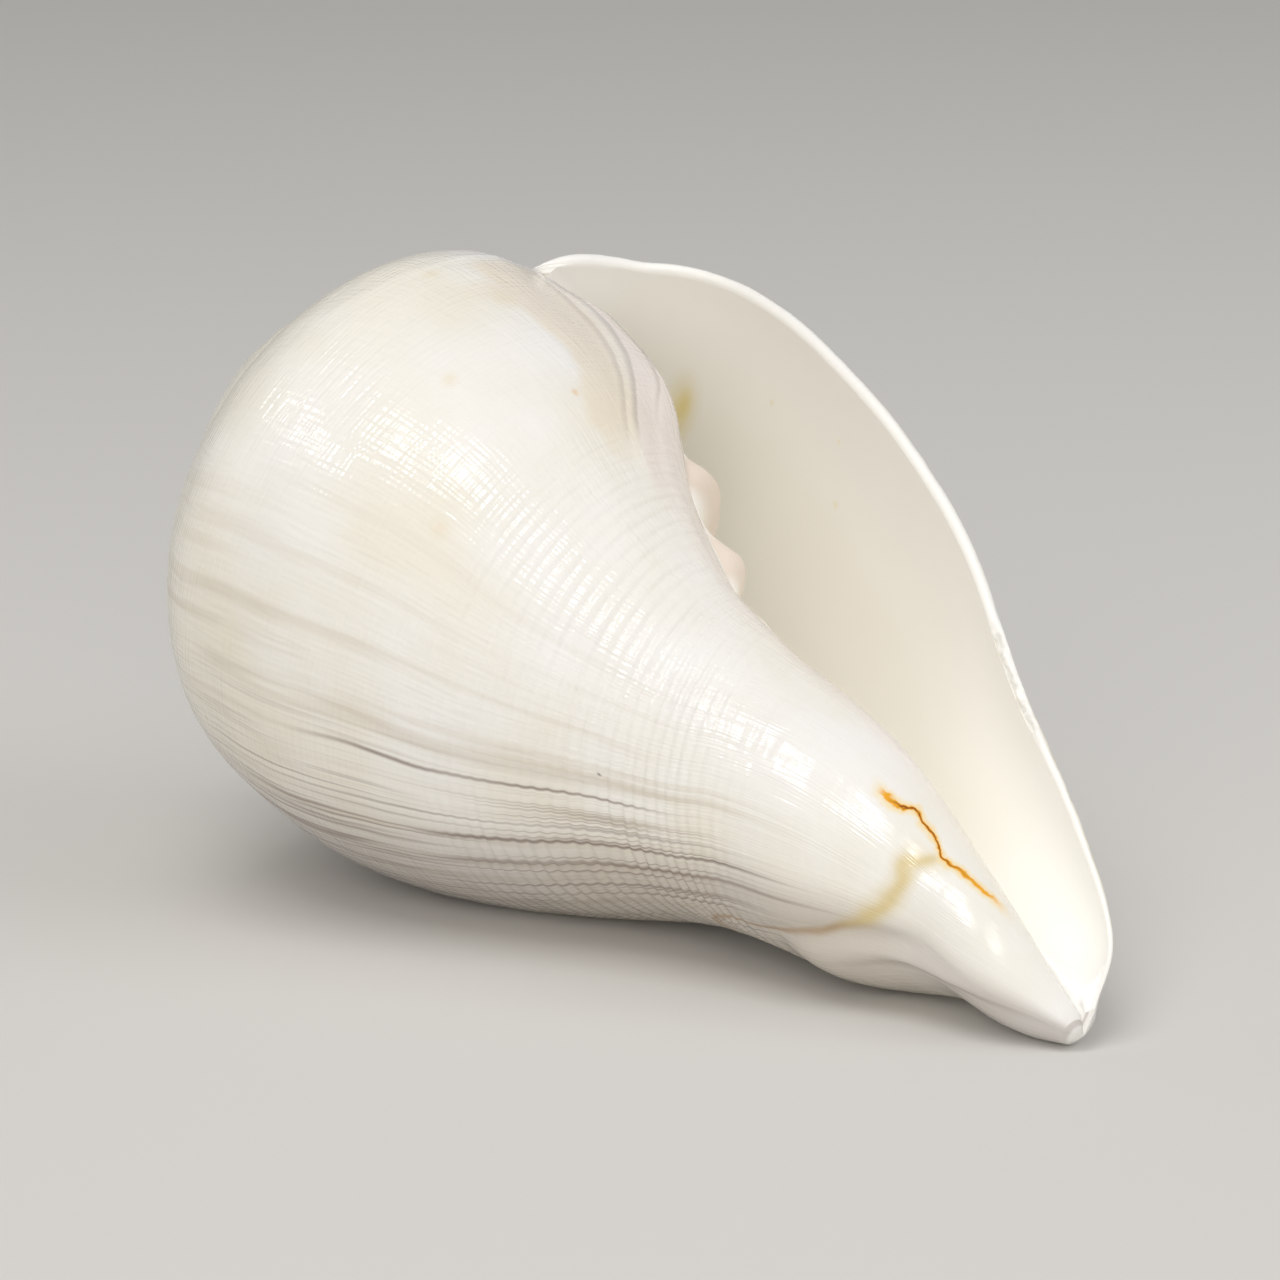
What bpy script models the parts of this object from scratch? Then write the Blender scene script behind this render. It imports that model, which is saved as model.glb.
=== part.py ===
# Conch shell horn: a right-handed chank shell, grown as one piece, its apex ground off to blow.
# The shell lies on its belly with the mouth up; its canal tip points along +X.
# Shell sections are drawn as (radius, depth): radius from the coiling axis, depth below the
# virtual apex along it, both in millimetres. "turn" counts whorls back from the outer lip.
import math

import bpy
import bmesh
import numpy as np

MM = 0.001

# Growth
whorlRatio = 1.5             # size of one whorl against the one before
bodyColumns = 40             # section columns in one turn
shoulderRows = 6             # rows above the cords, on each side of the suture's seat
tipRows = 10
spireTurns = 4.0             # where the coil is closed off, above the ground apex

# Section of the outer lip, from the shoulder to the canal tip
lipProfile = [(39.2, 33.2), (45, 38.5), (47.8, 46), (48, 56.5), (46.2, 70), (42.8, 85.5),
              (37, 101.5), (27.5, 118), (19.5, 134), (11, 147.5), (2.8, 152)]
# Section of the inner lip one turn earlier, from the suture along the columella to the tip
columellaProfile = [(31.5, 37.2), (30.2, 47), (27.2, 56.5), (22, 66), (16, 79.5), (14.2, 92),
                    (12.6, 114.5), (1.5, 151)]
# Where the back of the last whorl is slimmer or fuller than even growth: section place,
# spread and share of the radius
girthChanges = [(0.17, 0.09, -0.035), (0.45, 0.1, 0.035), (0.8, 0.13, -0.15), (0.93, 0.042, -0.38)]
sutureSeat = 2               # lip point that carries the next whorl's suture
tipDepth = 152.8             # the very end of the canal
lipSetBack = 0.022           # turn by which the shoulder of the lip lies behind its middle
lipMiddle = 0.55             # section place below which the lip edge is straight
lipSkew = 0.8
lipReach = 0.032             # turn by which its suture end reaches forward
lipReachEnd = 0.15           # where that ends, as a share of the way to the middle
parietalRun = 0.12

# Rim and wall
rimThickness = 2.2           # of the lip at its edge
rimRound = 0.6               # how far the edge is rounded forward
rimFullAt = 0.05             # section place, from the suture on, where the rim is full
rimTipShare = 0.6            # of the rim at the canal tip
rimLeastRadius = 3.0         # keeps the rounding small next to the axis
wallThickness = 3.8          # of the body whorl behind the rim
wallRampTurn = 0.15          # turn over which the wall reaches its full thickness
wallThinFrom = 0.72          # section place where the wall starts to thin toward the tip
wallTipShare = 0.55

# Cavity
cavityTurns = 2.9
mouthSteps = (0.01, 0.025, 0.045, 0.07)
nearSteps = (0.1, 1.0, 0.05)     # turns from, to and step of the cavity's cross-sections
farSteps = (1.0, cavityTurns, 0.08)
capTurn = 0.02               # how far the closed end bulges past the last cross-section
outerPoints = 12
outerCrowding = 0.9          # below one the points crowd toward the canal
cavityTop = 0.03             # section place where the outer wall of the cavity starts
cornerShare = 1.05           # corner under the suture, in wall thicknesses
cornerMouthShare = 0.6       # of that at the mouth
cornerTurn = 0.3
endShare = 0.8               # slope of the canal's end, in wall thicknesses
edgeFadeTurn = 0.3           # turn over which the shape of the lip edge fades out inside
canalEndDeep = 0.845         # where the cavity stops toward the tip, deep inside
canalEndRun = 0.13           # how much further it reaches at the mouth
canalEndTurn = 0.35
pillarRadius = 3.9           # thickens the columella inside the whorls
pillarFrom, pillarTo = 0.6, 0.9
pillarGrowth = 0.5
pillarTurn = 0.04            # turn over which it builds up behind the inner lip
undercutShare = 0.34         # how far the canal cuts in behind the inner lip
undercutTurn = 0.015
undercutPlaces = (0.855, 0.905, 0.95, 1.0)
foldPlaces = (0.622, 0.702, 0.775)
foldHeights = (4.6, 4.0, 1.6)
foldWidth = 0.021
foldRise = 0.015             # turn over which the folds rise behind the inner lip
foldFlank = 0.3              # place of a flank point between a crest and the middle
foldFoot = 1.6               # where a fold ends, in widths from its crest
wallRows = 4                 # points on each side of the folds
meetTurns = (2.55, 2.9)      # over these turns the cavity closes in on the blow hole
meetShare = 0.6
meetPlaces = (0.7, 0.85)
depthSamples = 400

# Outer relief
cordStart, cordEnd = 0.555, 0.865
cordCount = 22
cordHeight = 0.32
cordEase = 0.05
cordFromLip = (0.03, 0.09)   # turns behind the lip over which the cords come in
cordToInner = (1.0, 0.95)    # and over which they run out at the inner lip
fascioleTurns = (0.4, 0.55)
fascioleEnd = (1.0, 0.88)
fascioleHeight = 1.0
fascioleSpread = 0.02
fascioleOffset = 0.034       # from the groove beside it
grooveDepth = 0.6
grooveSpread = 0.013
groovePlace = 0.932
grooveRise = 0.09            # how far the groove climbs on the back
grooveTurns = (0.66, 0.5)
callusHeight = 1.5
callusPlaces = (0.31, 0.41, 0.5, 0.62)   # rises, is full, ends: section places
callusTurns = (0.94, 0.99, 1.08, 1.4)    # and turns
normalStep = 0.004

# Ground apex and blow hole
grindDepth = 8.5             # the apex is ground off flat here
boreMouthRadius = 5.5
boreEndRadius = 4.8
boreDepth = 16.0             # below the ground face
boreSides = 24
cutterRadius = 40.0          # wider than the spire at the ground face
cutterAbove = 20.0           # and taller than what is taken off

# How the shell lies
axisTilt = 21.75             # degrees by which the tip is lower than the apex
upAzimuth = -38.6            # azimuth of the shell that looks up, in degrees
flatDepth = 2.1              # taken off the belly for the flat it rests on

shellColour = (0.86, 0.83, 0.76, 1.0)
shellRoughness = 0.28
sharpAngle = 35              # degrees; sharper edges stay crisp


def clearScene():
    for obj in list(bpy.data.objects):
        bpy.data.objects.remove(obj, do_unlink=True)


def ramp(x, start, end):
    # Rises smoothly from 0 at start to 1 at end, whichever of the two is larger
    share = np.clip((np.asarray(x, float) - start) / (end - start), 0.0, 1.0)
    return share * share * (3.0 - 2.0 * share)


def bump(x, spread):
    return np.exp(-(np.asarray(x, float) / spread) ** 2)


def curveAt(points, t):
    # Catmull-Rom curve through evenly spaced points, t from 0 to 1
    pts = np.asarray(points, float)
    pts = np.vstack([2 * pts[0] - pts[1], pts, 2 * pts[-1] - pts[-2]])
    x = np.clip(np.asarray(t, float), 0.0, 1.0) * (len(points) - 1)
    i = np.minimum(x.astype(int), len(points) - 2)
    f = (x - i)[..., None]
    a, b, c, d = pts[i], pts[i + 1], pts[i + 2], pts[i + 3]
    return 0.5 * (2 * b + (c - a) * f + (2 * a - 5 * b + 4 * c - d) * f ** 2
                  + (3 * b - a - 3 * c + d) * f ** 3)


sutureLip = np.array(lipProfile[sutureSeat]) / whorlRatio
lipCurve = np.vstack([sutureLip, lipProfile])
columellaCurve = np.vstack([lipCurve[:sutureSeat + 2] / whorlRatio, columellaProfile])
sutureT = (sutureSeat + 1) / (len(lipCurve) - 1)


def section(turn, t):
    # Point of the outer surface: logarithmic growth between the two ends of the last turn
    turn, t = np.broadcast_arrays(np.asarray(turn, float), np.asarray(t, float))
    share = np.minimum(turn, 1.0)[..., None]
    older = np.maximum(turn - 1.0, 0.0)[..., None]
    points = curveAt(lipCurve, t) ** (1 - share) * curveAt(columellaCurve, t) ** share \
        * whorlRatio ** -older
    girth = sum(change * bump(t - at, spread) for at, spread, change in girthChanges)
    points[..., 0] *= 1.0 + girth * np.sin(math.pi * np.clip(turn, 0.0, 1.0)) ** 2
    return points


def sectionNormal(turn, t):
    # Outward direction in the section plane
    along = section(turn, np.minimum(t + normalStep, 1.0)) \
        - section(turn, np.maximum(t - normalStep, 0.0))
    normal = np.stack([along[..., 1], -along[..., 0]], axis=-1)
    return normal / np.linalg.norm(normal, axis=-1, keepdims=True)


def cords(turn, t):
    phase = (t - cordStart) / (cordEnd - cordStart) * cordCount
    zone = ramp(t, cordStart, cordStart + cordEase) * ramp(t, cordEnd, cordEnd - cordEase)
    return -cordHeight * np.cos(2 * math.pi * phase) * zone * ramp(turn, *cordFromLip) \
        * ramp(turn, *cordToInner)


def fasciole(turn, t):
    # The swelling round the canal and the groove beside it, which climbs on the back
    fromGroove = t - groovePlace + grooveRise * ramp(turn, *grooveTurns)
    swelling = fascioleHeight * bump(fromGroove - fascioleOffset, fascioleSpread)
    groove = grooveDepth * bump(fromGroove, grooveSpread)
    return (swelling - groove) * ramp(turn, *fascioleTurns) * ramp(turn, *fascioleEnd)


def callus(turn, t):
    # Extra shell laid over the parietal wall on both sides of the inner lip's edge
    zone = ramp(t, *callusPlaces[:2]) * ramp(t, *callusPlaces[:1:-1])
    return callusHeight * zone * ramp(turn, *callusTurns[:2]) * ramp(turn, *callusTurns[:1:-1])


def lipTurn(t):
    # The lip edge reaches forward at the suture and lies a little back at the shoulder
    x = np.clip(np.asarray(t, float) / lipMiddle, 0.0, 1.0)
    return lipSetBack * np.sin(math.pi * x ** lipSkew) ** 2 - lipReach * ramp(x, lipReachEnd, 0.0)


def parietalTurn(t):
    # The outside ends short of a full turn where the lip's suture end reaches forward
    return -lipReach * ramp(t, sutureT + parietalRun, sutureT)


def outerPoint(turn, t):
    raised = cords(turn, t) + fasciole(turn, t) + callus(turn, t)
    return section(turn, t) + sectionNormal(turn, t) * raised[..., None]


def wall(depthTurn, t):
    full = rimThickness + (wallThickness - rimThickness) * ramp(depthTurn, 0.0, wallRampTurn)
    share = 1.0 - (1.0 - wallTipShare) * ramp(t, wallThinFrom, 1.0)
    return full * share * whorlRatio ** -depthTurn


def place(turn, rd):
    # From (turn, radius, depth) to the world frame, in millimetres
    azimuth = 2 * math.pi * np.asarray(turn, float) - math.radians(upAzimuth)
    tilt = math.radians(axisTilt)
    r, d = rd[..., 0], rd[..., 1]
    up, side = r * np.cos(azimuth), r * np.sin(azimuth)
    return np.stack([up * math.sin(tilt) + d * math.cos(tilt), side,
                     up * math.cos(tilt) - d * math.sin(tilt)], axis=-1)


def rowValues():
    back = np.linspace(0.0, sutureT, shoulderRows)
    front = np.linspace(sutureT, cordStart, shoulderRows)[1:]
    cords = np.linspace(cordStart, cordEnd, 2 * cordCount + 1)[1:]
    tip = np.linspace(cordEnd, 1.0, tipRows + 1)[1:]
    return np.concatenate([back, front, cords, tip])


class ShellMesh:
    def __init__(self):
        self.verts = []
        self.faces = []

    def add(self, points):
        first = len(self.verts)
        self.verts.extend(np.asarray(points, float).reshape(-1, 3).tolist())
        return list(range(first, len(self.verts)))

    def face(self, *corners):
        ring = [c for i, c in enumerate(corners) if c != corners[i - 1]]
        if len(ring) > 2:
            self.faces.append(ring)

    def grid(self, columns):
        # Quads between neighbouring columns that have the same number of points
        for left, right in zip(columns, columns[1:]):
            for j in range(len(left) - 1):
                self.face(left[j], left[j + 1], right[j + 1], right[j])

    def zipRows(self, left, right, leftAt, rightAt):
        # Triangles between two rows with unlike point counts, led by each row's own measure
        i = j = 0
        while i < len(left) - 1 or j < len(right) - 1:
            stepLeft = j == len(right) - 1 or (i < len(left) - 1 and leftAt[i + 1] <= rightAt[j + 1])
            if stepLeft:
                self.face(left[i], left[i + 1], right[j])
                i += 1
            else:
                self.face(left[i], right[j + 1], right[j])
                j += 1


def seatRow(rows):
    # Row of a whorl on which the next whorl's suture sits
    return int(np.argmin(abs(rows - sutureT)))


def buildOutside(mesh, rows):
    # Body whorl from the lip edge to the inner lip, closed at the canal tip
    columns = []
    start, end = lipTurn(rows), 1.0 + parietalTurn(rows)
    for i in range(bodyColumns + 1):
        turn = start + (end - start) * i / bodyColumns
        columns.append(mesh.add(place(turn, outerPoint(turn, rows))))
    seat = seatRow(rows)
    columns[-1][seat] = columns[0][0]
    tip = mesh.add(place(0.0, np.array([0.0, tipDepth])))[0]
    mesh.grid(columns)
    for left, right in zip(columns, columns[1:] + columns[:1]):
        mesh.face(left[-1], tip, right[-1])
    return columns


def buildSpire(mesh, body, rows):
    # Earlier whorls: each shares its lower suture with the whorl that was laid over it
    seat = seatRow(rows)
    columns = [body[-1][:seat + 1]]
    sutures = [column[0] for column in body]
    total = int(round((spireTurns - 1.0) * bodyColumns))
    for i in range(1, total + 1):
        turn = 1.0 - lipReach + i / bodyColumns
        column = mesh.add(place(turn, section(turn, rows[:seat]))) + [sutures[i]]
        sutures.append(column[0])
        columns.append(column)
    mesh.grid(columns)
    top = mesh.add(place(0.0, np.array([0.0, sutureLip[1] * whorlRatio ** -spireTurns])))[0]
    ring = sutures[-bodyColumns - 1:] + columns[-1][1:-1]
    for a, b in zip(ring, ring[1:] + ring[:1]):
        mesh.face(a, top, b)


def innerWall(depthTurn, turn, t):
    # Columella and parietal wall: the surface laid down one turn before, seen from inside
    rd = section(1.0 + turn, t)
    cut = ramp(t, *undercutPlaces[:2]) * ramp(t, *undercutPlaces[:1:-1])
    rd[..., 0] *= 1.0 - undercutShare * cut * (1.0 - math.exp(-depthTurn / undercutTurn))
    pillar = pillarRadius * (1.0 - math.exp(-depthTurn / pillarTurn)) \
        * whorlRatio ** (-pillarGrowth * depthTurn)
    rd[..., 0] = np.hypot(rd[..., 0], pillar * ramp(t, pillarFrom, pillarTo))
    meet = meetShare * ramp(depthTurn, *meetTurns)
    rd[..., 0] *= 1.0 - meet * ramp(t, *meetPlaces[::-1])
    rise = (1.0 - math.exp(-depthTurn / foldRise)) * whorlRatio ** -depthTurn
    folds = sum(height * bump(t - at, foldWidth) for at, height in zip(foldPlaces, foldHeights))
    raised = folds * rise + callus(1.0 + turn, t)
    return rd + sectionNormal(1.0 + turn, t) * raised[..., None]


def innerRows(tLast, tFirst):
    # Section points of the inner wall, closer together over the folds
    crests = foldPlaces[::-1]
    rows = [crests[0]]
    for high, low in zip(crests, crests[1:]):
        flank = foldFlank * (high - low)
        rows += [high - flank, (low + high) / 2, low + flank, low]
    above, below = crests[0] + foldFoot * foldWidth, crests[-1] - foldFoot * foldWidth
    return np.concatenate([np.linspace(tLast, above, wallRows), rows,
                           [(crests[-1] + below) / 2], np.linspace(below, tFirst, wallRows)])


def easeCorners(loop):
    for _ in range(2):
        eased = 0.5 * loop + 0.25 * (np.roll(loop, 1, axis=0) + np.roll(loop, -1, axis=0))
        for corner in (0, outerPoints - 1, outerPoints, len(loop) - 1):
            loop[corner] = eased[corner]


def cavityLoop(depthTurn):
    # One cross-section of the cavity: turns, section points and places along both walls
    end = canalEndDeep + canalEndRun * math.exp(-depthTurn / canalEndTurn)
    fade = math.exp(-depthTurn / edgeFadeTurn)
    corner = cornerMouthShare + (1.0 - cornerMouthShare) * ramp(depthTurn, 0.0, cornerTurn)
    tOut = np.linspace(0.0, 1.0, outerPoints) ** outerCrowding * (end - cavityTop * corner)
    tOut += cavityTop * corner
    turnOut = depthTurn + lipTurn(tOut) * fade
    thickness = wall(depthTurn, tOut)
    outer = section(turnOut, tOut) - sectionNormal(turnOut, tOut) * thickness[..., None]
    samples = np.linspace(sutureT, 1.0, depthSamples)
    depths = section(1.0 + depthTurn, samples)[..., 1]
    under = cornerShare * corner * thickness[0]
    tFirst = np.interp(depths[0] + under, depths, samples)
    tLast = np.interp(outer[-1, 1] - endShare * thickness[0], depths, samples)
    tIn = innerRows(tLast, tFirst)
    turnIn = depthTurn + parietalTurn(tIn) * fade
    loop = np.vstack([outer, innerWall(depthTurn, turnIn, tIn)])
    easeCorners(loop)
    return np.concatenate([turnOut, turnIn]), loop, tOut, tIn


def buildLip(mesh, body, rows):
    # The rim of the outer lip: a rounded band between the outside and the cavity
    turn = lipTurn(rows)
    share = ramp(rows, 0.0, rimFullAt) * (1.0 - (1.0 - rimTipShare) * ramp(rows, wallThinFrom, 1.0))
    start = outerPoint(turn, rows)
    inward = -sectionNormal(turn, rows) * (rimThickness * share)[..., None]
    forward = rimRound * share / (2 * math.pi * np.maximum(start[..., 0], rimLeastRadius))
    crest = mesh.add(place(turn - forward, start + 0.5 * inward))
    inside = mesh.add(place(turn, start + inward))
    crest[0] = inside[0] = body[0][0]
    crest[-1] = inside[-1] = body[-1][-1]
    mesh.grid([inside, crest, body[0]])
    return inside


def buildCavity(mesh, body, rows, lipInside):
    seat = seatRow(rows)
    steps = list(mouthSteps) + list(np.arange(*nearSteps)) + list(np.arange(*farSteps))
    sections = [cavityLoop(step) for step in steps]
    loops = [mesh.add(place(turns, loop)) for turns, loop, tOut, tIn in sections]
    turns, loop, tOut, tIn = sections[0]
    outside, inside = loops[0][:outerPoints], loops[0][outerPoints:]
    parietal = body[-1][seat:][::-1]
    mesh.zipRows(outside, lipInside, tOut, rows)
    mesh.zipRows(inside, parietal, -tIn, -rows[seat:][::-1])
    mesh.face(outside[-1], lipInside[-1], inside[0])
    mesh.face(inside[-1], parietal[-1], outside[0])
    for a, b in zip(loops, loops[1:]):
        mesh.grid([b + b[:1], a + a[:1]])
    turns, loop, tOut, tIn = sections[-1]
    centre = mesh.add(place(steps[-1] + capTurn, loop.mean(axis=0)))[0]
    for a, b in zip(loops[-1], loops[-1][1:] + loops[-1][:1]):
        mesh.face(a, b, centre)


def flatten(verts, first, last):
    # The belly is rubbed flat where it rests, and the tip comes down to the same plane
    low = verts[first:last, 2]
    verts[first:last, 2] = np.maximum(low, low.min() + flatDepth)


def buildShell():
    mesh = ShellMesh()
    rows = rowValues()
    body = buildOutside(mesh, rows)
    buildSpire(mesh, body, rows)
    lipInside = buildLip(mesh, body, rows)
    outsideEnd = len(mesh.verts)
    buildCavity(mesh, body, rows, lipInside)
    verts = np.array(mesh.verts)
    flatten(verts, 0, outsideEnd)
    return verts, mesh.faces


def meshObject(name, verts, faces):
    mesh = bpy.data.meshes.new(name)
    mesh.from_pydata([tuple(v) for v in verts], [], faces)
    bm = bmesh.new()
    bm.from_mesh(mesh)
    bmesh.ops.delete(bm, geom=[v for v in bm.verts if not v.link_faces], context="VERTS")
    bmesh.ops.recalc_face_normals(bm, faces=bm.faces[:])
    bm.to_mesh(mesh)
    bm.free()
    obj = bpy.data.objects.new(name, mesh)
    bpy.context.scene.collection.objects.link(obj)
    return obj


def turnedCutter(name, profile, sides):
    # Solid turned about the shell's axis; the profile starts and ends on the axis
    mesh = ShellMesh()
    turns = np.arange(sides) / sides
    ends = [mesh.add(place(0.0, np.array(p, float)))[0] for p in (profile[0], profile[-1])]
    rings = [mesh.add(place(turns, np.tile(np.array(p, float), (sides, 1)))) for p in profile[1:-1]]
    mesh.grid([ring + ring[:1] for ring in rings])
    for ring, end in ((rings[0], ends[0]), (rings[-1], ends[1])):
        for a, b in zip(ring, ring[1:] + ring[:1]):
            mesh.face(a, b, end)
    cutter = meshObject(name, np.array(mesh.verts) * MM, mesh.faces)
    cutter.hide_render = True
    cutter.display_type = "WIRE"
    return cutter


def apexCutter():
    # Takes off the apex and bores the blow hole into the whorls behind it
    boreFoot = grindDepth + boreDepth
    profile = [(0, -cutterAbove), (cutterRadius, -cutterAbove), (cutterRadius, grindDepth),
               (boreMouthRadius, grindDepth), (boreEndRadius, boreFoot), (0, boreFoot)]
    return turnedCutter("apex_cutter", profile, boreSides)


def cutAway(obj, cutter):
    modifier = obj.modifiers.new("cut", "BOOLEAN")
    modifier.operation = "DIFFERENCE"
    modifier.solver = "EXACT"
    modifier.object = cutter
    view = bpy.context.evaluated_depsgraph_get()
    cut = bpy.data.meshes.new_from_object(obj.evaluated_get(view))
    obj.modifiers.clear()
    obj.data = cut
    bpy.data.objects.remove(cutter, do_unlink=True)


def centreOnFloor(obj):
    # Origin at the middle of the underside of the bounding box
    points = np.array([v.co for v in obj.data.vertices])
    low, high = points.min(axis=0), points.max(axis=0)
    middle = (low + high) / 2
    points -= (middle[0], middle[1], low[2])
    obj.data.vertices.foreach_set("co", points.astype(np.float32).ravel())
    obj.data.update()


def shellMaterial():
    material = bpy.data.materials.new("polished shell")
    material.use_nodes = True
    surface = material.node_tree.nodes["Principled BSDF"]
    surface.inputs["Base Color"].default_value = shellColour
    surface.inputs["Roughness"].default_value = shellRoughness
    surface.inputs["Metallic"].default_value = 0.0
    return material


def main():
    clearScene()
    verts, faces = buildShell()
    shell = meshObject("conch_shell", verts * MM, faces)
    cutAway(shell, apexCutter())
    centreOnFloor(shell)
    shell.data.materials.clear()
    shell.data.materials.append(shellMaterial())
    shell.data.shade_smooth()
    shell.data.set_sharp_from_angle(angle=math.radians(sharpAngle))


main()
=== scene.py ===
import math
from functools import partial

import bpy
import bmesh
import numpy as np
from mathutils import Matrix, Vector


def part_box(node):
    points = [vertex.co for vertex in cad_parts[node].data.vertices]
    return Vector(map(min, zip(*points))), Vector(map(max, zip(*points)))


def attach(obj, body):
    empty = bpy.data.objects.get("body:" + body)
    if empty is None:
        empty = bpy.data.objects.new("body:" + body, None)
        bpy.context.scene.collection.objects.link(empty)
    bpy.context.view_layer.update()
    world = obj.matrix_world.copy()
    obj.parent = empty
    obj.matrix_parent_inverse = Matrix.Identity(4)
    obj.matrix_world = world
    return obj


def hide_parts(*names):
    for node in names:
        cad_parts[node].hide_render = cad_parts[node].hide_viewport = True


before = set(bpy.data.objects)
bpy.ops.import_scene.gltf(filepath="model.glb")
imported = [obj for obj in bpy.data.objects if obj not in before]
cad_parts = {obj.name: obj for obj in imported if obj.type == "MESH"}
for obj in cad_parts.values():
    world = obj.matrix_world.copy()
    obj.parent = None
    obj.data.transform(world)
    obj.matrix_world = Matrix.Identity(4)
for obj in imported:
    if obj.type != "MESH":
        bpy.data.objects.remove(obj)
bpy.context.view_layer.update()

cadLow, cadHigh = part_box("conch_shell")
millimetre = 0.001

# kinds and settings of nodes that come back often
mathNode, rangeNode = "ShaderNodeMath", "ShaderNodeMapRange"
multiply, plus, minus = ({"operation": name} for name in ("MULTIPLY", "ADD", "SUBTRACT"))
smooth = {"interpolation_type": "SMOOTHSTEP"}


def addNode(tree, kind, *values, out=0, inputs=None, **settings):
    # Adds one node: values fill its inputs in order, inputs by name; a socket is linked
    node = tree.nodes.new(kind)
    for name, value in settings.items():
        setattr(node, name, value)
    shown = [socket for socket in node.inputs if socket.enabled]
    pairs = list(zip(shown, values))
    pairs += [(node.inputs[name], value) for name, value in (inputs or {}).items()]
    for socket, value in pairs:
        if isinstance(value, bpy.types.NodeSocket):
            tree.links.new(value, socket)
        elif value is not None:
            socket.default_value = value
    if isinstance(out, str):
        return node.outputs[out]
    return [socket for socket in node.outputs if socket.enabled][out] if node.outputs else None


def linear(hexColour):
    # sRGB hex to the linear colour that a shader takes
    parts = [int(hexColour[i:i + 2], 16) / 255 for i in (1, 3, 5)]
    return tuple(p / 12.92 if p <= 0.04045 else ((p + 0.055) / 1.055) ** 2.4
                 for p in parts) + (1.0,)


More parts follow.
